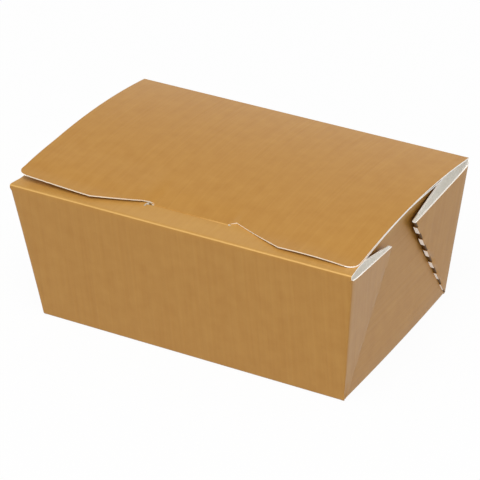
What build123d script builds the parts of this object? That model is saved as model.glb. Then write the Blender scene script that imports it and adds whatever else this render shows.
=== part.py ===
from build123d import *

import os
from math import asin, atan2, cos, degrees, hypot, radians, sin, sqrt, tan

# A ballotin: one sheet of card folded into a flared box with webbed corners.
# +Z is up, the front faces -Y, and the origin is at the middle of the base.
# Sizes are in millimetres and degrees, over the outer faces of the card.
card = 0.5
base_length = 136.1
base_width = 88.2
top_length = 150.0
top_width = 100.7
height = 61.2
crease_radius = 0.8
side_inset = 0.5

# End walls stand upright, because the folded webs hold them in from the flare.
end_wall_lean = 0.0
end_wall_drop = 1.0
base_tab = 8.0
dust_flap_depth = 28.0
dust_flap_dip = 3.0
dust_flap_taper = 14.0
dust_flap_corner = 8.0

# Webs: two layers with a perforated fold, folded back along the end wall.
# Their cut edge runs straight from the corner crease to the tip of the fold.
web_drop = 4.0
web_reach = 60.5
fold_gap = 0.1
fold_swell = 0.03
corner_bead = 0.3
bite_length = 5.0
bite_pitch = 9.85
bite_first = 6.2
bite_depth = 0.6

# Front flap: a flat strip before the slit, then an arch towards the back wall.
strip_length = 8.2
slit_setback = 11.3
upturn_radius = 25.0
upturn_angle = 7.6
front_flap_gap = 14.0
front_flap_lift = 1.0
front_flap_corner = 10.0
slit_clearance = 0.3
slit_overrun = 1.0
slit_hook_radius = 4.0
slit_hook_angle = 40.0

# Lid: an arch from the back crease to the slit, with shoulders that lie on the strip.
lid_clearance = 0.4
lid_start_angle = 9.0
lid_corner = 4.0
shoulder_reach = 6.8
shoulder_width = 32.1
shoulder_radius = 25.0
shoulder_kink = 2.0
slant_run = 23.1
slant_stop = 1.1
notch_radius = 1.4
tongue_width = 33.0
tongue_length = 13.0
tongue_taper = 3.0
tongue_corner = 6.0
tongue_bend = 0.8
hinge_relief = 1.0

# The lid's left side curls up, more towards its corner.
curl_start = 38.0
curl_rise = 3.4
curl_angle = 6.2
curl_steps = 5

# How far cutting solids run past what they cut.
past = 10.0

# Places worked out from the sizes.
half_base_length = base_length / 2
half_base_width = base_width / 2
half_top_length = top_length / 2
half_top_width = top_width / 2
front_slope = (half_top_width - half_base_width) / height
side_slope = (half_top_length - half_base_length) / height
end_rim = height - end_wall_drop
web_top = height - web_drop
panel_half = half_top_length - side_inset
strip_end_y = -half_top_width + strip_length
slit_y = -half_top_width + slit_setback
flap_end_y = half_top_width - front_flap_gap
tongue_half = tongue_width / 2
fold_pitch = card + fold_gap
fold_radius = (card + fold_pitch) / 2 + fold_swell
end_edge_inset = card + fold_gap + fold_radius
end_edge_low = half_base_width - end_edge_inset
end_edge_high = end_edge_low + front_slope * end_rim
on_top = (Align.CENTER, Align.CENTER, Align.MIN)


def folded_strip(path):
    """The section of a folded strip of card, on the box's inner side of its outer face's line."""
    line = Wire(path.edges())
    middle = Vector(0, 0, height / 2)
    sides = [line.offset_2d(card, kind=Kind.ARC, side=side) for side in (Side.LEFT, Side.RIGHT)]
    return min([Face(outline) for outline in sides], key=lambda face: face.distance_to(middle))


def prism_both(face, reach):
    return extrude(face, amount=reach, both=True)


def plate(corners):
    """A flat panel of card, whose middle plane has the given corners."""
    return prism_both(Face(Wire.make_polygon(corners, close=True)), card / 2)


def bead_along(start, end, radius):
    """A crease or a pressed fold, as a round bead with a round foot."""
    along = end - start
    bead = Plane(origin=start, z_dir=along) * Cylinder(radius, along.length, align=on_top)
    return bead + Pos(*start) * Sphere(radius)


def front_path():
    """Outer face of the back wall, base, front wall and front flap, in the YZ plane."""
    walls = FilletPolyline(
        (half_top_width, height),
        (half_base_width, 0),
        (-half_base_width, 0),
        (-half_top_width, height),
        (strip_end_y, height),
        radius=crease_radius,
    )
    upturn = JernArc((strip_end_y, height), (1, 0), upturn_radius, upturn_angle)
    arch = TangentArc(upturn @ 1, (flap_end_y, height + front_flap_lift), tangent=upturn % 1)
    return Plane.YZ * (Curve() + [walls, upturn, arch])


def panel_outline():
    """Front view of the walls, whose side edges stand upright above the webs."""
    right = [
        (half_base_length, -past),
        (half_base_length, 0),
        (half_base_length + side_slope * web_top, web_top),
        (panel_half, height),
        (panel_half, height + past),
    ]
    left = [(-x, z) for x, z in reversed(right)]
    return make_face(Plane.XZ * Polyline(*right, *left, close=True))


def flap_corner_waste():
    """What is cut away outside the rounded rear corners of the front flap."""
    corner = Pos(panel_half, flap_end_y + card, height)
    block = corner * Box(2 * front_flap_corner, 2 * front_flap_corner, past)
    centre = Pos(panel_half - front_flap_corner, flap_end_y + card - front_flap_corner, height)
    waste = block - centre * Cylinder(front_flap_corner, 2 * past)
    return waste + mirror(waste, Plane.YZ)


def slit_cutter():
    """The slit in the front flap, opened by the tongue and hooked forward at its ends."""
    half = tongue_half + slit_overrun
    straight = Line((-half, slit_y), (half, slit_y))
    right_hook = JernArc((half, slit_y), (1, 0), slit_hook_radius, -slit_hook_angle)
    left_hook = JernArc((-half, slit_y), (-1, 0), slit_hook_radius, slit_hook_angle)
    line = Wire((Curve() + [left_hook, straight, right_hook]).edges())
    opening = line.offset_2d(card / 2 + slit_clearance, kind=Kind.ARC, side=Side.BOTH)
    return Pos(0, 0, height) * prism_both(Face(opening), past / 2)


def front_chain():
    """Base, front wall, back wall and front flap, cut to their outlines."""
    strip = prism_both(folded_strip(front_path()), half_top_length + past)
    panels = strip & prism_both(panel_outline(), half_top_width + past)
    panels -= flap_corner_waste() + slit_cutter()
    end_waste = Box(past, 2 * end_edge_low, past)
    for side in (-1, 1):
        panels -= Pos(side * (half_base_length - crease_radius + past / 2), 0, 0) * end_waste
    return panels


def end_chain():
    """The right end wall with its dust flap, and the edge of the base that it is creased from."""
    rim_x = half_base_length + end_rim * tan(radians(end_wall_lean))
    dip = radians(dust_flap_dip)
    flap_tip_x = rim_x - dust_flap_depth * cos(dip)
    path = Plane.XZ * FilletPolyline(
        (half_base_length - base_tab, 0),
        (half_base_length, 0),
        (rim_x, end_rim),
        (flap_tip_x, end_rim - dust_flap_depth * sin(dip)),
        radius=crease_radius,
    )
    strip = prism_both(folded_strip(path), half_top_width + past)
    right = [
        (end_edge_low, -past), (end_edge_low, 0), (end_edge_high, end_rim), (end_edge_high, height)
    ]
    left = [(-y, z) for y, z in reversed(right)]
    wall_view = make_face(Plane.YZ * Polyline(*right, *left, close=True))
    tip_half = end_edge_high - dust_flap_depth * tan(radians(dust_flap_taper))
    shoulder_x = rim_x - crease_radius
    flap_view = make_face(
        Polyline(
            (rim_x + past, -end_edge_high), (shoulder_x, -end_edge_high), (flap_tip_x, -tip_half),
            (flap_tip_x, tip_half), (shoulder_x, end_edge_high), (rim_x + past, end_edge_high),
            close=True,
        )
    )
    flap_view = fillet(flap_view.vertices().group_by(Axis.X)[0], dust_flap_corner)
    around_flap = Box(2 * rim_x, 2 * top_width, 2 * past) - prism_both(flap_view, 2 * past)
    strip &= extrude(wall_view, amount=half_top_length + past)
    return strip - Pos(0, 0, end_rim) * around_flap


def web_fold_direction(front_edge, end_edge):
    """Where a web's fold points when both halves keep their flat shape, and the way across it."""
    front_panel = degrees(atan2(half_top_length - half_base_length, hypot(1, front_slope) * height))
    end_panel = degrees(atan2(half_top_width - half_base_width, height))
    half_web = radians((90 - front_panel - end_panel) / 2)
    middle = (front_edge + end_edge).normalized()
    across = (front_edge - end_edge).normalized()
    along = middle.cross(across).normalized()
    share = cos(half_web) / cos(radians(front_edge.get_angle(end_edge)) / 2)
    return middle * share + along * sqrt(1 - share * share), across


def corner_web():
    """The front right web, between the front wall's side edge and the end wall's."""
    foot = Vector(half_base_length - corner_bead, -half_base_width + card / 2, card / 2)
    front_top = Vector(half_top_length - corner_bead, -half_top_width + card / 2, height)
    end_x = half_base_length - card / 2
    end_foot = Vector(end_x, -end_edge_low, card / 2)
    end_lean = Vector(height * tan(radians(end_wall_lean)), -front_slope * height, height)
    front_edge = (front_top - foot).normalized()
    end_edge = end_lean.normalized()
    fold, across = web_fold_direction(front_edge, end_edge)

    rise = web_top - card / 2
    front_corner = foot + front_edge * (rise / front_edge.Z)
    end_corner = end_foot + end_edge * (rise / end_edge.Z)
    tip = foot + fold * web_reach
    apart = across * (fold_pitch / 2)
    step_out = Vector(fold_pitch, 0, 0)
    hairpin = step_out / 2
    web = plate([foot, front_corner, tip + apart])
    web += plate([end_foot + step_out, end_corner + step_out, tip - apart])
    web += bead_along(foot, front_corner, corner_bead)
    web += bead_along(end_foot + hairpin, end_corner + hairpin, fold_radius)
    web += bead_along(foot + fold * (2 * fold_radius), tip, fold_radius)

    bites = int((web_reach - bite_first) // bite_pitch) + 1
    for number in range(bites):
        centre = foot + fold * (bite_first + number * bite_pitch)
        seat = Plane(origin=centre, x_dir=fold, z_dir=across)
        web -= seat * Pos(0, bite_depth - fold_radius - past / 2) * Box(bite_length, past, past)
    return web & Box(2 * top_length, 2 * top_width, height, align=on_top)


def mitre_waste(side):
    """A block past the mitred back crease: above it for side 1, and below it for side -1."""
    wall_angle = 180 + degrees(atan2(height, half_top_width - half_base_width))
    angle = radians((wall_angle + 180 - lid_start_angle) / 2 + side * hinge_relief)
    normal = (0, side * sin(angle), -side * cos(angle))
    seat = Plane(origin=(0, half_top_width, height), x_dir=(1, 0, 0), z_dir=normal)
    return seat * Box(2 * top_length, past, past, align=on_top)


def lid_arch(lift, steeper):
    """Upper face of the lid from the back crease to the slit, in the YZ plane."""
    rise = radians(lid_start_angle + steeper)
    slope = radians(upturn_angle)
    slit_top = height + upturn_radius * (1 - cos(slope))
    end_y = slit_y + tongue_bend * (1 - sin(slope)) - card / 2
    return TangentArc(
        (half_top_width, height),
        (end_y, slit_top + lid_clearance + card + lift),
        tangent=(-cos(rise), sin(rise)),
    )


def lid_section(x):
    """Section of the lid at x, with the shoulder that lies on the strip."""
    share = max(0, -x - curl_start) / (panel_half - curl_start)
    arch = lid_arch(curl_rise * share * share, curl_angle * share * share)
    drop = degrees(asin(-(arch % 1).Y))
    level = JernArc(arch @ 1, arch % 1, shoulder_radius, -drop)
    flat = Line(level @ 1, (slit_y - shoulder_reach - crease_radius, (level @ 1).Y))
    line = Plane.YZ * (Curve() + [arch, level, flat])
    return Pos(x, 0, 0) * folded_strip(line)


def lid_outline():
    """Plan of the lid's two shoulders and the slants that run in to the tongue."""
    front = slit_y - shoulder_reach
    back = half_top_width + past
    kink = panel_half - shoulder_width
    right = [
        (panel_half, back), (panel_half, front), (kink, front), (kink - slant_run, slit_y + slant_stop)
    ]
    left = [(-x, y) for x, y in reversed(right)]
    plan = make_face(Polyline(*right, *left, close=True))
    front_points = plan.vertices().group_by(Axis.Y)[0].sort_by(Axis.X)
    plan = fillet([front_points[0], front_points[-1]], lid_corner)
    front_points = plan.vertices().group_by(Axis.Y)[0].sort_by(Axis.X)
    plan = fillet(front_points[1:-1], shoulder_kink)
    return Pos(0, 0, height) * prism_both(plan, past)


def tongue():
    """The tongue, bent down at the slit and curved about the lid's crease."""
    arch = lid_arch(0, 0)
    heading = arch % 1
    hinge = Vector(half_top_width, height)
    centre = (arch @ 1) + Vector(-heading.Y, heading.X) * tongue_bend
    outward = (centre - hinge).normalized()
    reach = (centre - hinge).length + tongue_bend
    start = degrees(atan2(outward.Y, outward.X))
    turn = (start + 90 - degrees(atan2(heading.Y, heading.X))) % 360
    bend = JernArc(arch @ 1, heading, tongue_bend, turn)
    down = CenterArc(hinge, reach, start, degrees(tongue_length / reach))
    line = Plane.YZ * (Curve() + [arch, bend, down])
    strip = prism_both(folded_strip(line), tongue_half)

    right = [
        (tongue_half - tongue_taper, (down @ 1).Y), (tongue_half, height), (tongue_half, height + past)
    ]
    left = [(-x, z) for x, z in reversed(right)]
    view = make_face(Plane.XZ * Polyline(*right, *left, close=True))
    view = fillet(view.vertices().group_by(Axis.Z)[0], tongue_corner)
    return strip & prism_both(view, half_top_width + past)


def build_lid():
    run = panel_half - curl_start
    stations = [-curl_start - run * step / curl_steps for step in range(curl_steps + 1)]
    curl = loft([lid_section(x) for x in stations], ruled=True)
    panel = extrude(lid_section(-curl_start), amount=panel_half + curl_start, dir=(1, 0, 0))
    lid = ((panel + curl) & lid_outline()) + tongue()
    notch = Cylinder(notch_radius, 2 * notch_radius)
    for side in (-1, 1):
        notch_x = side * (tongue_half + notch_radius - slit_clearance)
        lid -= Pos(notch_x, slit_y + slant_stop / 2, height + card + lid_clearance) * notch
    return lid - mitre_waste(-1)


def build_body():
    web = corner_web()
    right = end_chain() + web + mirror(web, Plane.XZ)
    body = front_chain() + right + mirror(right, Plane.YZ)
    return body - mitre_waste(1)


os.makedirs("parts", exist_ok=True)
export_step(build_body(), "parts/box_body.step")
export_step(build_lid(), "parts/lid.step")
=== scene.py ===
import math

import bmesh
import bpy
from mathutils import Matrix, Vector


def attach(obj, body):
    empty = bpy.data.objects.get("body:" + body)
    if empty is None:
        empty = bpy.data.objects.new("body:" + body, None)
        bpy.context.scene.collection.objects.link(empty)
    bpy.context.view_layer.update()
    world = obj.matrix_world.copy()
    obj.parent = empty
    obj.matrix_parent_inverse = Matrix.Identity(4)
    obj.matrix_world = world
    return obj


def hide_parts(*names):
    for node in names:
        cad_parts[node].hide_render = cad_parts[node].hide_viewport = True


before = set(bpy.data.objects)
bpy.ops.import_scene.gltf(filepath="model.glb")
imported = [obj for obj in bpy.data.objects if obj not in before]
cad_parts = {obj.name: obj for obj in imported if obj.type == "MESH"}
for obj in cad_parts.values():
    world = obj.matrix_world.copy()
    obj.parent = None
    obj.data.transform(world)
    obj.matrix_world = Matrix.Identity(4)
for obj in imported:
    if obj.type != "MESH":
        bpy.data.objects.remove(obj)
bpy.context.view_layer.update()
mm = 0.001  # everything below is drawn in millimetres and scaled at the end

# Card stock, shared by every panel
card = {"thickness": 0.5, "creaseRadius": 0.8, "creaseSteps": 5, "weld": 0.004, "sharpAngle": 40}

# The box: outer faces, as the blank folds up
box = {
    "halfBaseLength": 68.05,
    "halfBaseWidth": 44.1,
    "halfTopLength": 75.0,
    "halfTopWidth": 50.35,
    "height": 61.2,
    "panelHalf": 74.5,
    "webTop": 58.2,
}
slots = {"gold": 0, "white": 1, "edge": 2, "cut": 3}
# where the ink shows on the card's other side: along the back crease and at the base's corners
inked = {"hingeReach": 0.8, "hingeRise": 0.7, "footReach": 1.2, "footTop": 2.9, "footInside": 1.3}
frontSlope = (box["halfTopWidth"] - box["halfBaseWidth"]) / box["height"]
sideSlope = (box["halfTopLength"] - box["halfBaseLength"]) / box["height"]


def smoothStep(share):
    share = max(0, min(1, share))
    return share * share * (3 - 2 * share)


def arcPoints(centre, radius, startAngle, endAngle, steps):
    span = endAngle - startAngle
    angles = [math.radians(startAngle + span * step / steps) for step in range(steps + 1)]
    return [(centre[0] + radius * math.cos(a), centre[1] + radius * math.sin(a)) for a in angles]


def creasedCorner(before, corner, after):
    # the rounded crease between two straight panels, in a side view
    back = (Vector(before) - Vector(corner)).normalized()
    ahead = (Vector(after) - Vector(corner)).normalized()
    half = math.acos(max(-1, min(1, back.dot(ahead)))) / 2
    radius = card["creaseRadius"]
    centre = Vector(corner) + (back + ahead).normalized() * (radius / math.sin(half))
    first = Vector(corner) + back * (radius / math.tan(half)) - centre
    last = Vector(corner) + ahead * (radius / math.tan(half)) - centre
    startAngle = math.degrees(math.atan2(first.y, first.x))
    turn = math.degrees(first.angle_signed(last)) * -1
    return arcPoints(centre, radius, startAngle, startAngle + turn, card["creaseSteps"])


def gridSheet(bm, columns, rows, place):
    # a flat grid whose points are moved to where place(column, row) puts them
    blank = bm.loops.layers.uv.get("UVMap") or bm.loops.layers.uv.new("UVMap")
    # per point painted tone: a painted highlight above nought, painted shade below it
    paintedTone = bm.verts.layers.float.get("paintedTone") or bm.verts.layers.float.new("paintedTone")
    made = bmesh.ops.create_grid(bm, x_segments=columns, y_segments=rows, size=1)
    flat = {}
    spots = {}
    for vert in made["verts"]:
        column = round((vert.co.x + 1) / 2 * columns)
        row = round((vert.co.y + 1) / 2 * rows)
        point, flatPoint, painted = place(column, row)
        vert.co = point
        vert[paintedTone] = painted
        flat[vert] = flatPoint
        spots[vert] = (column, row)
    faces = {face for vert in made["verts"] for face in vert.link_faces}
    for face in faces:
        for loop in face.loops:
            loop[blank].uv = flat[loop.vert]
    return spots, faces


def addMirrored(bm, source, scale):
    # a mirrored copy of another mesh, turned right side out again
    copy = source.copy()
    bmesh.ops.transform(copy, matrix=Matrix.Diagonal((*scale, 1)), verts=copy.verts)
    if scale[0] * scale[1] * scale[2] < 0:
        bmesh.ops.reverse_faces(copy, faces=copy.faces)
    mesh = bpy.data.meshes.new("mirrorCopy")
    copy.to_mesh(mesh)
    copy.free()
    bm.from_mesh(mesh)
    bpy.data.meshes.remove(mesh)


def isInked(face):
    # the ink runs on over the back crease and round the corners of the base
    x, y, z = (abs(c) / mm for c in face.center)
    onRim = face.center.y > 0 and y > box["halfTopWidth"] - inked["hingeReach"]
    onHinge = onRim and abs(z - box["height"]) < inked["hingeRise"] and abs(face.normal.x) < 0.5
    atCorner = min(x - box["halfBaseLength"], y - box["halfBaseWidth"]) > -inked["footReach"]
    faceOut = face.normal.dot(face.center) > 0
    onFoot = atCorner and z < inked["footTop"] and (faceOut or z < inked["footInside"])
    return onFoot or onHinge


def finishSheet(bm, name, body, node, materials):
    # thickness goes to the white side, and the die-cut rim shows the board
    bmesh.ops.remove_doubles(bm, verts=bm.verts, dist=card["weld"])
    bmesh.ops.scale(bm, vec=(mm, mm, mm), verts=bm.verts)
    for face in bm.faces:
        face.smooth = True
    mesh = bpy.data.meshes.new(name)
    bm.to_mesh(mesh)
    bm.free()
    sheet = bpy.data.objects.new(name, mesh)
    bpy.context.scene.collection.objects.link(sheet)
    for material in materials:
        mesh.materials.append(material)
    wall = sheet.modifiers.new("boardThickness", "SOLIDIFY")
    wall.thickness = card["thickness"] * mm
    wall.offset = -1
    wall.material_offset = slots["white"]
    wall.material_offset_rim = slots["edge"]
    # the thickness is made real, so that the cut edges can be kept crisp
    bpy.context.view_layer.update()
    folded = sheet.evaluated_get(bpy.context.evaluated_depsgraph_get())
    thick = bpy.data.meshes.new_from_object(folded)
    sheet.modifiers.clear()
    sheet.data = thick
    thick.name = name
    thick.set_sharp_from_angle(angle=math.radians(card["sharpAngle"]))
    bpy.data.meshes.remove(mesh)
    for face in thick.polygons:
        if isInked(face):
            face.material_index = slots["gold"]
        # the end edges take the glowing cut finish, painted light for the light that comes past the lid
        atEnd = abs(face.center.x) > box["halfBaseLength"] * mm and face.normal.x * face.center.x > 0
        if face.material_index == slots["edge"] and atEnd:
            face.material_index = slots["cut"]
    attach(sheet, body)
    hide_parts(node)


# Finishes

def srgb(red, green, blue):
    channels = [value / 255 for value in (red, green, blue)]
    return [c / 12.92 if c <= 0.04045 else ((c + 0.055) / 1.055) ** 2.4 for c in channels] + [1]


goldInk = {
    "colour": srgb(179, 125, 50),
    "paleColour": srgb(193, 142, 66),
    # painted highlight on the rounded creases
    "highlightColour": srgb(228, 184, 108),
    # painted shade for the perforation's bridges
    "pressedColour": srgb(52, 34, 16),
    "metallic": 0.25,
    "roughness": 0.4,
    "ribScale": (620, 14, 1),
    "ribDepth": 0.5,
    "ribTone": 0.8,
    "mottleScale": 170,
}


def addNode(tree, kind, x, y, **inputs):
    node = tree.nodes.new(kind)
    node.location = (x, y)
    for name, value in inputs.items():
        node.inputs[name].default_value = value
    return node


def newMaterial(name):
    material = bpy.data.materials.new(name)
    material.use_nodes = True
    tree = material.node_tree
    shader = tree.nodes["Principled BSDF"]
    return material, tree, shader


def makeGoldCard():
    material, tree, shader = newMaterial("goldCard")
    link = tree.links.new
    blank = addNode(tree, "ShaderNodeUVMap", -1300, 200)
    blank.uv_map = "UVMap"
    stretch = addNode(tree, "ShaderNodeMapping", -1100, 200)
    stretch.inputs["Scale"].default_value = goldInk["ribScale"]
    ribs = addNode(tree, "ShaderNodeTexNoise", -900, 200, Scale=1.0, Detail=2.0, Roughness=0.6)
    place = addNode(tree, "ShaderNodeTexCoord", -1300, -200)
    mottle = addNode(tree, "ShaderNodeTexNoise", -900, -200, Scale=goldInk["mottleScale"], Detail=4.0)
    # the painted tone attribute: painted highlights on creases, painted shade on the perforation's bridges
    paintedTone = addNode(tree, "ShaderNodeAttribute", -900, -500)
    paintedTone.attribute_name = "paintedTone"
    tone = addNode(tree, "ShaderNodeMix", -600, 0)
    tone.data_type = "RGBA"
    tone.inputs["A"].default_value = goldInk["colour"]
    tone.inputs["B"].default_value = goldInk["paleColour"]
    blend = addNode(tree, "ShaderNodeMath", -750, 100)
    blend.operation = "MULTIPLY_ADD"
    blend.inputs[1].default_value = goldInk["ribTone"]
    lower = addNode(tree, "ShaderNodeMath", -750, -100)
    lower.operation = "SUBTRACT"
    lower.inputs[1].default_value = goldInk["ribTone"] / 2
    # painted highlight: mixed toward the highlight colour where the attribute is above nought
    edge = addNode(tree, "ShaderNodeMix", -400, 0)
    edge.data_type = "RGBA"
    edge.inputs["B"].default_value = goldInk["highlightColour"]
    # painted shade: mixed toward the shade colour where the attribute is below nought
    shadeAmount = addNode(tree, "ShaderNodeMath", -600, -600)
    shadeAmount.operation = "MULTIPLY"
    shadeAmount.inputs[1].default_value = -1
    pressed = addNode(tree, "ShaderNodeMix", -200, 0)
    pressed.data_type = "RGBA"
    pressed.inputs["B"].default_value = goldInk["pressedColour"]
    bump = addNode(tree, "ShaderNodeBump", -300, -300, Strength=goldInk["ribDepth"], Distance=0.0002)
    link(blank.outputs["UV"], stretch.inputs["Vector"])
    link(stretch.outputs["Vector"], ribs.inputs["Vector"])
    link(place.outputs["Object"], mottle.inputs["Vector"])
    link(ribs.outputs["Fac"], blend.inputs[0])
    link(mottle.outputs["Fac"], lower.inputs[0])
    link(lower.outputs[0], blend.inputs[2])
    link(blend.outputs[0], tone.inputs["Factor"])
    link(tone.outputs["Result"], edge.inputs["A"])
    link(paintedTone.outputs["Fac"], edge.inputs["Factor"])
    link(paintedTone.outputs["Fac"], shadeAmount.inputs[0])
    link(shadeAmount.outputs[0], pressed.inputs["Factor"])
    link(edge.outputs["Result"], pressed.inputs["A"])
    link(pressed.outputs["Result"], shader.inputs["Base Color"])
    link(ribs.outputs["Fac"], bump.inputs["Height"])
    link(bump.outputs["Normal"], shader.inputs["Normal"])
    shader.inputs["Metallic"].default_value = goldInk["metallic"]
    shader.inputs["Roughness"].default_value = goldInk["roughness"]
    return material


def makeBoard(name, light, dark, scale, roughness, glow=0, glowColour=(1, 1, 1, 1)):
    # uncoated board: a faint fibre mottle between two near whites
    material, tree, shader = newMaterial(name)
    place = addNode(tree, "ShaderNodeTexCoord", -900, 0)
    fibre = addNode(tree, "ShaderNodeTexNoise", -700, 0, Scale=scale, Detail=4.0, Roughness=0.65)
    tone = addNode(tree, "ShaderNodeMix", -450, 0)
    tone.data_type = "RGBA"
    tone.inputs["A"].default_value = dark
    tone.inputs["B"].default_value = light
    bump = addNode(tree, "ShaderNodeBump", -300, -250, Strength=0.15, Distance=0.0001)
    tree.links.new(place.outputs["Object"], fibre.inputs["Vector"])
    tree.links.new(fibre.outputs["Fac"], tone.inputs["Factor"])
    tree.links.new(fibre.outputs["Fac"], bump.inputs["Height"])
    tree.links.new(tone.outputs["Result"], shader.inputs["Base Color"])
    tree.links.new(bump.outputs["Normal"], shader.inputs["Normal"])
    shader.inputs["Roughness"].default_value = roughness
    shader.inputs["Emission Color"].default_value = glowColour
    shader.inputs["Emission Strength"].default_value = glow
    return material


goldCard = makeGoldCard()
# the inside and the cuts glow a little, painted light standing in for light that goes to and fro between
# white layers
whiteInside = makeBoard("whiteInside", srgb(250, 249, 245), srgb(242, 240, 234), 900, 0.65,
                        glow=0.1, glowColour=(1, 0.985, 0.95, 1))
whiteUnder = makeBoard("whiteUnder", srgb(244, 242, 236), srgb(234, 231, 223), 900, 0.7)
boardEdge = makeBoard("boardEdge", srgb(250, 240, 222), srgb(236, 220, 195), 1500, 0.8)
glowingCut = makeBoard("glowingCut", srgb(252, 249, 243), srgb(243, 237, 228), 1500, 0.8,
                     glow=0.26, glowColour=(1, 0.975, 0.94, 1))
finishes = [goldCard, whiteInside, boardEdge, glowingCut]
lidFinishes = [goldCard, whiteUnder, boardEdge, glowingCut]
print("finishes ready")


# Webs: a fan from the foot of the corner, folded back on itself
web = {
    "reach": 61.5,          # along the fold, from the foot to the tip
    "footRadius": 0.72,     # the fold is pressed at its foot and opens toward its tip
    "tipRadius": 0.92,
    "bridgeProud": 0.6,     # how far the bridges stand out, in shares of the radius
    "cutProud": 1.0,        # and the cut edges at each perforation
    "cutStep": 0.1,
    "foldSteps": 6,
    "layerSteps": 8,
    "turnRadius": 0.06,     # where the inner layer turns back on to the end wall
    "turnSteps": 4,
    "endGap": 0.1,
    "endInset": 1.18,
    "biteFirst": 6.2,
    "bitePitch": 9.85,
    "biteLength": 5.0,
    "bites": 6,
    "foot": (-0.3, 0.25, 0.25),  # from the base's corner
    "footStation": 0.016,
    "footLean": 0.3,        # near the foot the fold leans out and the inner layer sinks in
    "footSink": 0.6,
    "sinkHeight": 10.0,
    "closedShare": 0.66,    # of the fold's radius at its foot, which opens by openedAt
    "openedAt": 0.06,
    "flatAngle": 78.0,      # of the web in the blank
    "pressed": -0.8,        # painted shade on the bridges
}
webFoot = Vector((box["halfBaseLength"], -box["halfBaseWidth"], 0)) + Vector(web["foot"])
endLow = box["halfBaseWidth"] - web["endInset"]


def foldDirection():
    # the fold of a web whose two halves keep their flat shape
    frontEdge = Vector((sideSlope, -frontSlope, 1)).normalized()
    endEdge = Vector((0, -frontSlope, 1)).normalized()
    frontPanel = math.atan2(sideSlope, math.hypot(1, frontSlope))
    endPanel = math.atan2(frontSlope, 1)
    halfWeb = (math.pi / 2 - frontPanel - endPanel) / 2
    middle = (frontEdge + endEdge).normalized()
    across = (frontEdge - endEdge).normalized()
    along = middle.cross(across).normalized()
    share = math.cos(halfWeb) / math.cos(frontEdge.angle(endEdge) / 2)
    return middle * share + along * math.sqrt(1 - share * share), across


def webStations():
    # rows up the web as (share of the reach, cut or not), with a step at each end of each perforation
    rows = [(web["footStation"], False)]
    for number in range(web["bites"]):
        centre = web["biteFirst"] + number * web["bitePitch"]
        half = web["biteLength"] / 2
        inner = half - web["cutStep"]
        for offset, cut in ((-half, False), (-inner, True), (inner, True), (half, False)):
            rows.append(((centre + offset) / web["reach"], cut))
    return rows + [(1, False)]


stations = webStations()
foldAlong, foldAcross = foldDirection()
foldOutward = foldAlong.cross(foldAcross).normalized()


def foldPoint(step, cut):
    # a point round the fold: an arc at the bridges, a square end where the card is cut
    half = web["foldSteps"] / 2
    if cut:
        across = max(-1, min(1, (half - step) / (half - 1)))
        return across, 0 if step in (0, web["foldSteps"]) else web["cutProud"]
    angle = math.pi * step / web["foldSteps"]
    return math.cos(angle), math.sin(angle) * web["bridgeProud"]


def webSection(station, cut):
    # points across the web at one station, from the front crease to the end wall's edge
    height = box["webTop"] * station
    frontY = -box["halfBaseWidth"] - frontSlope * height
    front = Vector((box["halfBaseLength"] + sideSlope * height, frontY, height))
    radius = web["footRadius"] + (web["tipRadius"] - web["footRadius"]) * station ** 2
    opened = min(1, station / web["openedAt"])
    radius *= web["closedShare"] + (1 - web["closedShare"]) * opened
    centre = webFoot + foldAlong * (web["reach"] * station)
    centre.x += web["footLean"] * (1 - opened)
    outerEnd = centre + foldAcross * radius
    points = [front.lerp(outerEnd, step / web["layerSteps"]) for step in range(web["layerSteps"])]
    for step in range(web["foldSteps"] + 1):
        across, outward = foldPoint(step, cut)
        points.append(centre + (foldAcross * across + foldOutward * outward) * radius)
    innerStart = points[-1]
    wallX = box["halfBaseLength"]
    sink = web["footSink"] * (1 - smoothStep(height / web["sinkHeight"]))
    edge = Vector((wallX + web["endGap"] - sink, frontY + web["endInset"] * opened, height))
    points += [innerStart.lerp(edge, step / web["layerSteps"]) for step in range(1, web["layerSteps"] + 1)]
    for step in range(1, web["turnSteps"] + 1):
        angle = math.pi * step / web["turnSteps"]
        turnX = wallX + web["endGap"] / 2 * (1 + math.cos(angle)) - sink
        points.append(Vector((turnX, edge.y - web["turnRadius"] * math.sin(angle), height)))
    return points


def buildWeb():
    bm = bmesh.new()
    sections = [webSection(station, cut) for station, cut in stations]
    foldFirst = web["layerSteps"]
    foldLast = foldFirst + web["foldSteps"]

    def place(column, row):
        point = sections[row][column]
        along = (point - webFoot).length
        angle = column / len(sections[0]) * math.radians(web["flatAngle"])
        flatPoint = ((box["halfTopLength"] + along * math.sin(angle)) * mm, along * math.cos(angle) * mm)
        # the bridges get painted shade
        bridge = foldFirst < column < foldLast and not stations[row][1]
        return point, flatPoint, web["pressed"] if bridge else 0

    spots, faces = gridSheet(bm, len(sections[0]) - 1, len(stations) - 1, place)
    for face in faces:
        onFold = all(foldFirst < spots[vert][0] < foldLast for vert in face.verts)
        # the perforation's cut faces take the glowing cut finish: painted light
        if onFold and all(stations[spots[vert][1]][1] for vert in face.verts):
            face.material_index = slots["cut"]
    return bm


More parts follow.
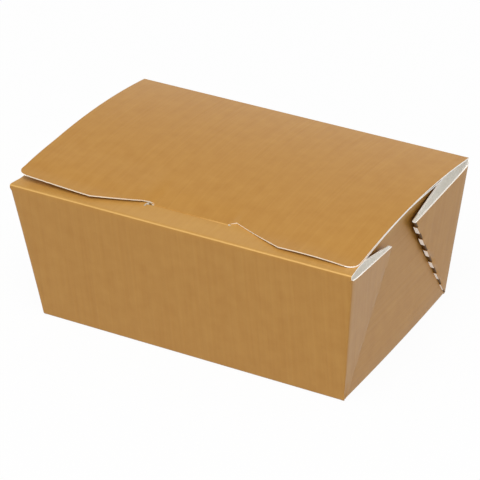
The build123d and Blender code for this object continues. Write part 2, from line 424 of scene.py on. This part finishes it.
# Lid: arched from the back crease, with shoulders, notches and the tongue
lid = {
    "creaseY": -38.6,
    "creaseRise": 0.74,      # upper face above the rim at the tongue's crease
    "startAngle": 9.0,
    "shoulderRadius": 25.0,
    "front": -45.85,
    # notches and slants, as (x, y) from the tongue's crease outward
    "rightEdge": ((16.4, -38.6), (16.9, -38.2), (19.15, -37.05), (19.5, -37.1), (42.4, -45.85)),
    "leftEdge": ((16.4, -38.6), (16.7, -38.0), (17.3, -37.9), (18.8, -38.35), (41.3, -45.85)),
    "dip": 0.42,             # the tongue holds the lid down between its notches
    "dipReach": 12.0,
    "corner": 4.0,
    "rows": 40,
    "curlStart": 38.0,
    "curlRise": 2.2,
    "curlAngle": 0.9,
    "rightRise": 0.95,       # how far the slanted edges stand off the strip
    "leftRise": 0.6,
    "leftPop": 0.75,         # the left half springs up past its notch
    "popReach": 24.0,
    "popBlend": 5.0,
    "heldHalf": 19.4,        # half the width that the tongue holds down, and its blend
    "heldBlend": 3.0,
    "rightShift": -0.1,      # the right side sits inward at the front and outward behind
    "rightSkew": 0.55,
    "squareTo": 20.0,        # x up to which the lid is square, and the blend past it
}
tongue = {
    "half": 16.4,
    "length": 13.0,
    "taper": 3.0,
    "corner": 6.0,
    "bend": 0.52,
    "bendSteps": 6,
    "rows": 12,
    "painted": 0.45,            # painted highlight along its crease, fading out toward the middle
    "highlightReach": 14.0,
    "blankStart": 50.0,      # in the blank, from the middle of the lid
}


def archBetween(start, angle, end):
    # centre and radius of the arc that leaves start at an angle and reaches end
    chord = Vector(end) - Vector(start)
    heading = Vector((math.cos(angle), math.sin(angle)))
    normal = Vector((-heading.y, heading.x))
    offset = chord.dot(normal)
    radius = chord.length_squared / (2 * offset)
    return Vector(start) + normal * radius, abs(radius)


def lidShape(x):
    # lift and start angle of the arch at x: the left side curls, the right hardly
    curl = max(0, -x - lid["curlStart"]) / (box["panelHalf"] - lid["curlStart"])
    side = max(0, abs(x) - tongue["half"]) / (box["panelHalf"] - tongue["half"])
    lift = lid["curlRise"] * curl ** 2
    lift += lid["rightRise" if x > 0 else "leftRise"] * math.sin(math.pi * side ** 1.6)
    angle = math.radians(lid["startAngle"] + lid["curlAngle"] * curl ** 2)
    return lift, angle


def lidHeight(x, y):
    lift, angle = lidShape(x)
    hinge = (-box["halfTopWidth"], box["height"])
    end = (-lid["creaseY"], box["height"] + lid["creaseRise"] + lift)
    centre, radius = archBetween(hinge, angle, end)
    behind = max(0, y - lid["creaseY"])
    popped = lid["leftPop"] * smoothStep((-x - tongue["half"]) / lid["popBlend"])
    popped *= smoothStep(1 - behind / lid["popReach"])
    if y >= lid["creaseY"]:
        held = smoothStep((lid["heldHalf"] - abs(x)) / lid["heldBlend"])
        held *= smoothStep(1 - behind / lid["dipReach"])
        return centre.y + math.sqrt(radius ** 2 - (-y - centre.x) ** 2) - lid["dip"] * held + popped
    drop = math.asin((end[0] - centre.x) / radius)
    flatY = lid["creaseY"] - lid["shoulderRadius"] * math.sin(drop)
    flatZ = end[1] - lid["shoulderRadius"] * (1 - math.cos(drop)) + popped
    if y <= flatY:
        return flatZ
    return flatZ + lid["shoulderRadius"] - math.sqrt(lid["shoulderRadius"] ** 2 - (y - flatY) ** 2)


# Slit in the front flap, hooked at each end: a narrow row of the strip that is left out
slit = {
    "y": -38.85,
    "half": 17.5,
    "width": 0.7,
    "hookRadius": 4.0,
    "hookAngle": 40.0,
    "hookSteps": 4,
    "fade": 12.0,           # how far past a hook the strip's rows are still bent
    "nearRows": 8.0,
    "rearOpen": 3.2,        # the hooks open rearward and close in front
    "frontClose": 0.4,
}
hookReach = slit["hookRadius"] * math.sin(math.radians(slit["hookAngle"]))
hookDrop = slit["hookRadius"] * (1 - math.cos(math.radians(slit["hookAngle"])))


def slitLine(x):
    # how far the slit's line drops toward the front edge at x, fading out past its hooks
    past = abs(x) - slit["half"]
    if past <= 0:
        return 0
    if past < hookReach:
        return slit["hookRadius"] - math.sqrt(slit["hookRadius"] ** 2 - past ** 2)
    fade = max(0, 1 - (past - hookReach) / slit["fade"])
    return hookDrop * fade ** 2


# Front wall, back wall, base and front flap: one folded strip
flap = {
    "stripEnd": -42.15,
    "upturnRadius": 25.0,
    "upturnAngle": 7.6,
    "endY": 36.35,
    "corner": 10.0,
    "archSteps": 14,
    "tuck": 0.35,           # how far the flap's side edge lies inside the lid's
    "tuckStart": -47.0,
    "tuckReach": 5.0,
    "gap": 0.06,            # under the lid
    "sag": 0.85,            # how far the flap's end hangs below the lid
    "sagStart": -6.0,
    "sagReach": 32.0,
    "followReach": 9.0,
    "start": -48.0,
    "stripRows": (-48.5, -46.5, -44.5),
    "slitRows": (-36.2, -34.5),
    "slitRowsEnd": -30.0,
    # painted highlights along the front rim's crease, row by row, and along the back crease
    "rimHighlight": (0, 0, 0.95, 0.45, 0.15, 0.18),
    "backHighlight": 0.4,
    "paler": 0.2,          # the strip in front of the slit, painted a little paler
    "palerEnd": -37.5,
}


def flapHeight(x, y):
    # flat strip, upturn, then close under the lid, falling away from it toward the flap's end
    if y <= flap["stripEnd"]:
        return box["height"]
    upturnEnd = flap["stripEnd"] + flap["upturnRadius"] * math.sin(math.radians(flap["upturnAngle"]))
    into = min(y, upturnEnd) - flap["stripEnd"]
    upturn = box["height"] + flap["upturnRadius"] - math.sqrt(flap["upturnRadius"] ** 2 - into ** 2)
    upturn += max(0, y - upturnEnd) * math.tan(math.radians(flap["upturnAngle"]))
    under = lidHeight(abs(x), y) - card["thickness"] - flap["gap"]
    under -= flap["sag"] * smoothStep((y - flap["sagStart"]) / flap["sagReach"])
    follow = smoothStep((y - slit["y"] + 1) / flap["followReach"])
    return upturn + (under - upturn) * follow


def frontProfile():
    # side view of the strip as (y, z, half width, wear) rows, from the back rim to the flap's end
    rise = [box["webTop"] * station for station, _ in stations]
    backTop = (box["halfTopWidth"], box["height"])
    backFoot = (box["halfBaseWidth"], 0)
    frontFoot = (-box["halfBaseWidth"], 0)
    frontTop = (-box["halfTopWidth"], box["height"])
    foldEnd = (flap["stripEnd"], box["height"])
    baseHalf = box["halfBaseLength"] - card["creaseRadius"]
    wallRows = []
    for height in rise:
        halfLength = box["halfBaseLength"] + sideSlope * height
        wallRows.append((box["halfBaseWidth"] + frontSlope * height, height, halfLength, 0))
    rows = [(*backTop, box["panelHalf"], flap["backHighlight"])]
    rows += reversed(wallRows)
    rows += [(y, z, box["halfBaseLength"], 0) for y, z in creasedCorner(backTop, backFoot, frontFoot)]
    rows += [(y, 0, baseHalf, 0) for y in (endLow, endLow / 2, 0, -endLow / 2, -endLow)]
    rows += [(y, z, box["halfBaseLength"], 0) for y, z in creasedCorner(backFoot, frontFoot, frontTop)]
    rows += [(-y, z, half, painted) for y, z, half, painted in wallRows]
    rim = creasedCorner(frontFoot, frontTop, foldEnd)
    rows += [(y, z, box["panelHalf"], painted) for (y, z), painted in zip(rim, flap["rimHighlight"])]
    cornerStart = flap["endY"] - flap["corner"]
    archStart = flap["slitRows"][-1]
    ys = [*flap["stripRows"]] + [flap["stripEnd"] + step for step in range(3)]
    ys += [slit["y"] - slit["width"] / 2, slit["y"] + slit["width"] / 2, *flap["slitRows"]]
    for step in range(1, flap["archSteps"] + 1):
        ys.append(archStart + (cornerStart - archStart) * step / flap["archSteps"])
    ys += [flap["endY"] - flap["corner"] * (1 - math.sin(math.radians(a))) for a in range(15, 91, 15)]
    for y in ys:
        inside = max(0, y - cornerStart)
        cut = flap["corner"] - math.sqrt(max(0, flap["corner"] ** 2 - inside ** 2))
        tuck = flap["tuck"] * smoothStep((y - flap["tuckStart"]) / flap["tuckReach"])
        painted = flap["paler"] if y < flap["palerEnd"] else 0
        rows.append((y, box["height"], box["panelHalf"] - cut - tuck, painted))
    return rows


def stripColumns():
    # shares of the half width, with a column wherever the slit turns
    hooks = [slit["half"] + hookReach * step / slit["hookSteps"] for step in range(slit["hookSteps"] + 1)]
    right = [slit["half"] * step / 5 for step in range(1, 5)] + hooks
    right += [hooks[-1] + (box["panelHalf"] - hooks[-1]) * step / 12 for step in range(1, 13)]
    return [-x for x in reversed(right)] + [0] + right


def distancesAlong(rows):
    # how far each row lies along the blank
    along = [0]
    for before, after in zip(rows, rows[1:]):
        along.append(along[-1] + math.hypot(after[0] - before[0], after[1] - before[1]))
    return along


def buildFrontStrip(bm):
    rows = frontProfile()
    columns = stripColumns()
    along = distancesAlong(rows)

    def place(column, row):
        y, z, half, painted = rows[row]
        x = columns[column] * half / box["panelHalf"]
        if flap["start"] < y < flap["slitRowsEnd"] and z > box["webTop"]:
            near = max(0, 1 - abs(y - slit["y"]) / slit["nearRows"]) ** 2
            beside = min(1, max(0, abs(x) - slit["half"]) / hookReach)
            if abs(y - slit["y"]) < slit["width"]:
                rearward = slit["rearOpen"] * math.sin(math.pi * beside) if y > slit["y"] else 0
                y = slit["y"] + (y - slit["y"]) * (1 + rearward - slit["frontClose"] * beside)
            y = y - slitLine(x) * near
        if flap["start"] < y < flap["endY"] + 1 and z >= box["height"]:
            z = flapHeight(x, y)
        return Vector((x, y, z)), (x * mm, along[row] * mm), painted

    _, faces = gridSheet(bm, len(columns) - 1, len(rows) - 1, place)
    cutOut = []
    for face in faces:
        middle = face.calc_center_median()
        aside = abs(middle.y + slitLine(middle.x) - slit["y"])
        standsOpen = -slit["half"] - hookReach < middle.x < slit["half"]  # the right hook lies shut
        if middle.z > box["webTop"] and aside < slit["width"] and standsOpen:
            cutOut.append(face)
    bmesh.ops.delete(bm, geom=cutOut, context="FACES")


# End walls with their dust flaps
endWall = {
    "rim": 60.2,
    "rows": 8,
    "columns": 24,
    "footReach": 0.9,
    "bow": 0.6,             # how far the wall's foot bulges, up to bowTop
    "bowTop": 30.0,
    # painted highlight along the rim crease
    "rimHighlight": 0.5,
    "flapDepth": 28.0,
    "flapRows": (5, 10, 15),
    "dip": 3.0,
    "taper": 14.0,
    "corner": 8.0,
    "cornerTurns": (0, 20, 40, 60, 75, 90),
}


def endProfile():
    wallX = box["halfBaseLength"]
    dip = math.radians(endWall["dip"])
    foot = (wallX, 0)
    rim = (wallX, endWall["rim"])
    reach = endWall["flapDepth"]
    tip = (wallX - reach * math.cos(dip), endWall["rim"] - reach * math.sin(dip))
    inner = (wallX - 1, 0)
    rows = [(x, z, endLow + endWall["footReach"], 0) for x, z in creasedCorner(inner, foot, rim)]
    for step in range(1, endWall["rows"]):
        height = endWall["rim"] * step / endWall["rows"]
        rows.append((wallX, height, endLow + frontSlope * height, 0))
    high = endLow + frontSlope * endWall["rim"]
    rows += [(x, z, high, endWall["rimHighlight"]) for x, z in creasedCorner(foot, rim, tip)]
    cornerStart = reach - endWall["corner"]
    turns = [math.radians(angle) for angle in endWall["cornerTurns"]]
    depths = [*endWall["flapRows"]] + [cornerStart + endWall["corner"] * math.sin(a) for a in turns]
    for depth in depths:
        inside = max(0, depth - cornerStart)
        cut = endWall["corner"] - math.sqrt(max(0, endWall["corner"] ** 2 - inside ** 2))
        half = high - depth * math.tan(math.radians(endWall["taper"])) - cut
        rows.append((wallX - depth * math.cos(dip), endWall["rim"] - depth * math.sin(dip), half, 0))
    return rows


def buildEndWall():
    bm = bmesh.new()
    rows = endProfile()
    along = distancesAlong(rows)

    def place(column, row):
        x, z, half, painted = rows[row]
        y = half * (2 * column / endWall["columns"] - 1)
        x += endWall["bow"] * (1 - (y / endLow) ** 2) * max(0, 1 - z / endWall["bowTop"]) ** 2
        return Vector((x, y, z)), ((box["halfBaseLength"] + along[row]) * mm, y * mm), painted

    gridSheet(bm, endWall["columns"], len(rows) - 1, place)
    return bm


boxMesh = bmesh.new()
buildFrontStrip(boxMesh)
webMesh = buildWeb()
for side in ((1, 1, 1), (-1, 1, 1), (1, -1, 1), (-1, -1, 1)):
    addMirrored(boxMesh, webMesh, side)
webMesh.free()
endMesh = buildEndWall()
for side in ((1, 1, 1), (-1, 1, 1)):
    addMirrored(boxMesh, endMesh, side)
endMesh.free()


crease = {
    "share": 25,            # percent of the row beside it
    "segments": 4,
    "lowest": 2.0,
    "tolerance": 0.02,
    "pocket": 2.6,          # radius of the curve between a web's top edge and the crease
    "pocketRise": 0.9,
    "pocketReach": 0.3,
}


def roundCorners(bm):
    # the four upright creases between the long walls and the webs
    bmesh.ops.remove_doubles(bm, verts=bm.verts, dist=card["weld"])
    upright = []
    for edge in bm.edges:
        onCrease = abs(edge.verts[0].co.z - edge.verts[1].co.z) > 0.01
        for vert in edge.verts:
            x, y, z = vert.co
            onCrease = onCrease and abs(abs(x) - box["halfBaseLength"] - sideSlope * z) < crease["tolerance"]
            onCrease = onCrease and abs(abs(y) - box["halfBaseWidth"] - frontSlope * z) < crease["tolerance"]
            onCrease = onCrease and crease["lowest"] < z < box["webTop"] + 0.01
        if onCrease:
            upright.append(edge)
    print("upright crease edges", len(upright))
    bmesh.ops.bevel(bm, geom=upright, offset=crease["share"], offset_type="PERCENT",
                    segments=crease["segments"], profile=0.5, affect="EDGES", clamp_overlap=False,
                    material=-1)
    # the webs' top edges curve up into the creases
    for vert in bm.verts:
        x, y, z = vert.co
        inward = box["halfBaseWidth"] + frontSlope * z - abs(y)
        aside = box["halfBaseLength"] + sideSlope * z - abs(x)
        onTop = abs(z - box["webTop"]) < crease["pocketReach"] and -0.1 < aside < crease["pocketReach"]
        if onTop and 0.1 < inward < crease["pocket"]:
            left = crease["pocket"] - inward
            curve = crease["pocket"] - math.sqrt(crease["pocket"] ** 2 - left ** 2)
            raised = min(crease["pocketRise"], curve)
            vert.co += Vector((math.copysign(sideSlope, x), math.copysign(frontSlope, y), 1)) * raised


# Ends: a folded sheet is never true, and both sit a little to the right with wider rims
ends = {
    "inner": 40.0,          # x where the shift starts, and the blend past it
    "blend": 22.0,
    "shift": 0.45,
    "skew": 0.3,
    "rightFlare": 0.04,
    "leftFlare": -0.2,
    "flapInset": 0.5,       # the front flap's sides stay where they are behind the rim
    "flapDrop": 0.7,
    "flapBlend": 6.0,
}


def settleEnds(bm):
    for vert in bm.verts:
        x, y, z = vert.co
        beyond = max(0, abs(x) - box["halfBaseLength"])
        onFlap = beyond > ends["flapInset"] and z > box["height"] - ends["flapDrop"]
        held = smoothStep((y + box["halfTopWidth"]) / ends["flapBlend"]) if onFlap else 0
        near = smoothStep((abs(x) - ends["inner"]) / ends["blend"])
        skew = 1 - ends["skew"] + ends["skew"] * y / box["halfTopWidth"] if x > 0 else 1
        flare = ends["rightFlare"] if x > 0 else ends["leftFlare"]
        vert.co.x += (ends["shift"] * near * skew + flare * beyond) * (1 - held)


roundCorners(boxMesh)
settleEnds(boxMesh)
finishSheet(boxMesh, "boxSheet", "box", "box_body", finishes)
print("box sheet folded")


def lidFront(x):
    # front edge of the lid in plan
    side = abs(x)
    edge = lid["rightEdge"] if x > 0 else lid["leftEdge"]
    if side <= tongue["half"]:
        return lid["creaseY"]
    for (x1, y1), (x2, y2) in zip(edge, edge[1:]):
        if side <= x2:
            return y1 + (y2 - y1) * (side - x1) / (x2 - x1)
    inside = max(0, side - box["panelHalf"] + lid["corner"])
    return lid["front"] + lid["corner"] - math.sqrt(max(0, lid["corner"] ** 2 - inside ** 2))


def lidColumns(edge):
    # distances from the middle, close together round the notch, the kink and the corner
    xs = [tongue["half"] * step / 8 for step in range(1, 9)]
    for (x1, _), (x2, _) in zip(edge, edge[1:]):
        steps = 8 if x2 - x1 > 10 else 3
        xs += [x1 + (x2 - x1) * step / steps for step in range(1, steps + 1)]
    kinkX = edge[-1][0]
    cornerStart = box["panelHalf"] - lid["corner"]
    xs += [kinkX + (cornerStart - kinkX) * step / 10 for step in range(1, 11)]
    xs += [cornerStart + lid["corner"] * math.sin(math.radians(a)) for a in (15, 30, 45, 60, 75, 90)]
    return xs


def buildLid():
    bm = bmesh.new()
    columns = [-x for x in reversed(lidColumns(lid["leftEdge"]))] + [0] + lidColumns(lid["rightEdge"])

    def placePanel(column, row):
        x = columns[column]
        y = box["halfTopWidth"] + (lidFront(x) - box["halfTopWidth"]) * row / lid["rows"]
        return Vector((x, y, lidHeight(x, y))), (x * mm, -y * mm), 0

    gridSheet(bm, len(columns) - 1, lid["rows"], placePanel)

    inner = [x for x in columns if abs(x) <= tongue["half"] + 0.001]
    hinge = Vector((box["halfTopWidth"], box["height"]))
    _, angle = lidShape(0)
    start = Vector((lid["creaseY"], lidHeight(0, lid["creaseY"])))
    before = Vector((lid["creaseY"] + 0.1, lidHeight(0, lid["creaseY"] + 0.1)))
    heading = (start - before).normalized()
    centre = start + Vector((-heading.y, heading.x)) * tongue["bend"]
    outward = (centre - hinge).normalized()
    reach = (centre - hinge).length + tongue["bend"]
    first = math.degrees(math.atan2((start - centre).y, (start - centre).x))
    last = math.degrees(math.atan2(outward.y, outward.x)) % 360
    bend = arcPoints(centre, tongue["bend"], first, last, tongue["bendSteps"])
    path = [(y, z, tongue["painted"]) for y, z in bend]
    swing = math.degrees(tongue["length"] / reach)
    down = arcPoints(hinge, reach, last, last + swing, tongue["rows"])[1:]
    path += [(y, z, 0) for y, z in down]

    def placeTongue(column, row):
        y, z, painted = path[row]
        sunk = max(0, row - tongue["bendSteps"]) / tongue["rows"]
        inside = max(0, sunk * tongue["length"] - tongue["length"] + tongue["corner"])
        cut = tongue["corner"] - math.sqrt(max(0, tongue["corner"] ** 2 - inside ** 2))
        half = tongue["half"] - tongue["taper"] * sunk - cut
        x = inner[column] * half / tongue["half"]
        painted *= smoothStep(x / tongue["highlightReach"]) if row else 0
        return Vector((x, y, z)), (x * mm, (tongue["blankStart"] + row) * mm), painted

    gridSheet(bm, len(inner) - 1, len(path) - 1, placeTongue)
    bmesh.ops.reverse_faces(bm, faces=bm.faces)
    return bm


lidMesh = buildLid()
for vert in lidMesh.verts:
    near = smoothStep((vert.co.x - lid["squareTo"]) / lid["squareTo"])
    vert.co.x += near * (lid["rightShift"] + lid["rightSkew"] * vert.co.y / box["halfTopWidth"])
finishSheet(lidMesh, "lidSheet", "cover", "lid", lidFinishes)
print("lid curved")


# Studio: white floor and background, soft light
studio = {
    "lowStrength": 0.94,    # the white surround near the horizon
    "highStrength": 0.44,   # the darker room above it
    "lowZ": 0.2,
    "highZ": 0.6,
    "keySize": 1.0,
    "keyPower": 17.0,
    "keyPlace": (0.2, -0.65, 1.3),
    "floorTone": 0.3,
    "floorRoughness": 0.9,
    "floorHalf": 3.0,
    "floorDrop": 0.0002,    # a hair under the base
    "floorGlow": 1.08,      # as the camera sees it, mixed in by glowShare
    "glowShare": 0.88,
    "lampTarget": (0, 0, 0.03),
}


def makeFloor():
    bm = bmesh.new()
    bmesh.ops.create_grid(bm, x_segments=1, y_segments=1, size=studio["floorHalf"])
    bmesh.ops.translate(bm, vec=(0, 0, -studio["floorDrop"]), verts=bm.verts)
    mesh = bpy.data.meshes.new("floor")
    bm.to_mesh(mesh)
    bm.free()
    floor = bpy.data.objects.new("floor", mesh)
    bpy.context.scene.collection.objects.link(floor)
    material, tree, shader = newMaterial("paleFloor")
    rays = addNode(tree, "ShaderNodeLightPath", -700, 300)
    glow = addNode(tree, "ShaderNodeEmission", -400, 300, Strength=studio["floorGlow"])
    either = addNode(tree, "ShaderNodeMath", -600, 100)
    either.operation = "MAXIMUM"
    seen = addNode(tree, "ShaderNodeMath", -500, 100)
    seen.operation = "MULTIPLY"
    seen.inputs[1].default_value = studio["glowShare"]
    mix = addNode(tree, "ShaderNodeMixShader", -100, 200)
    shader.inputs["Base Color"].default_value = (*[studio["floorTone"]] * 3, 1)
    shader.inputs["Roughness"].default_value = studio["floorRoughness"]
    tree.links.new(rays.outputs["Is Camera Ray"], either.inputs[0])
    tree.links.new(rays.outputs["Is Glossy Ray"], either.inputs[1])
    tree.links.new(either.outputs[0], seen.inputs[0])
    tree.links.new(seen.outputs[0], mix.inputs["Fac"])
    tree.links.new(shader.outputs["BSDF"], mix.inputs[1])
    tree.links.new(glow.outputs["Emission"], mix.inputs[2])
    tree.links.new(mix.outputs["Shader"], tree.nodes["Material Output"].inputs["Surface"])
    mesh.materials.append(material)


def makeWorld():
    world = bpy.data.worlds.new("studio")
    bpy.context.scene.world = world
    world.use_nodes = True
    tree = world.node_tree
    tree.nodes.clear()
    rays = addNode(tree, "ShaderNodeLightPath", -300, 300)
    around = addNode(tree, "ShaderNodeTexCoord", -900, 0)
    axes = addNode(tree, "ShaderNodeSeparateXYZ", -700, 0)
    fall = addNode(tree, "ShaderNodeMapRange", -500, 0)
    fall.interpolation_type = "SMOOTHSTEP"
    fall.inputs["From Min"].default_value = studio["lowZ"]
    fall.inputs["From Max"].default_value = studio["highZ"]
    fall.inputs["To Min"].default_value = studio["lowStrength"]
    fall.inputs["To Max"].default_value = studio["highStrength"]
    soft = addNode(tree, "ShaderNodeBackground", -300, 0)
    white = addNode(tree, "ShaderNodeBackground", -300, -200, Strength=1.0)
    soft.inputs["Color"].default_value = (1, 1, 1, 1)
    white.inputs["Color"].default_value = (1, 1, 1, 1)
    mix = addNode(tree, "ShaderNodeMixShader", -100, 100)
    out = addNode(tree, "ShaderNodeOutputWorld", 100, 100)
    tree.links.new(around.outputs["Generated"], axes.inputs["Vector"])
    tree.links.new(axes.outputs["Z"], fall.inputs["Value"])
    tree.links.new(fall.outputs["Result"], soft.inputs["Strength"])
    tree.links.new(rays.outputs["Is Camera Ray"], mix.inputs["Fac"])
    tree.links.new(soft.outputs["Background"], mix.inputs[1])
    tree.links.new(white.outputs["Background"], mix.inputs[2])
    tree.links.new(mix.outputs["Shader"], out.inputs["Surface"])


def makeLamp(name, place, target, size, power):
    light = bpy.data.lights.new(name, "AREA")
    light.size = size
    light.energy = power
    lamp = bpy.data.objects.new(name, light)
    bpy.context.scene.collection.objects.link(lamp)
    lamp.location = place
    lamp.rotation_euler = (Vector(target) - Vector(place)).to_track_quat("-Z", "Y").to_euler()


makeFloor()
makeWorld()
makeLamp("keyLight", studio["keyPlace"], studio["lampTarget"], studio["keySize"], studio["keyPower"])


# Camera, solved from the box's corners in the photograph
view = {
    "place": (470.291, -810.727, 587.598),
    "forward": (-0.43196119, 0.74283335, -0.51147644),
    "up": (-0.23395656, 0.45540993, 0.85899134),
    "focalPixels": 2737.998,
    "framePixels": 480,
    "sensor": 36.0,
}


def makeCamera():
    camera = bpy.data.cameras.new("camera")
    camera.sensor_width = view["sensor"]
    camera.lens = view["focalPixels"] * view["sensor"] / view["framePixels"]
    camera.clip_end = 20
    holder = bpy.data.objects.new("camera", camera)
    bpy.context.scene.collection.objects.link(holder)
    forward = Vector(view["forward"]).normalized()
    up = Vector(view["up"]).normalized()
    right = forward.cross(up).normalized()
    turn = Matrix((right, up, -forward)).transposed().to_4x4()
    holder.matrix_world = Matrix.Translation(Vector(view["place"]) * mm) @ turn
    bpy.context.scene.camera = holder


makeCamera()
bpy.context.scene.view_settings.view_transform = "Standard"
print("studio ready")

bpy.context.view_layer.update()
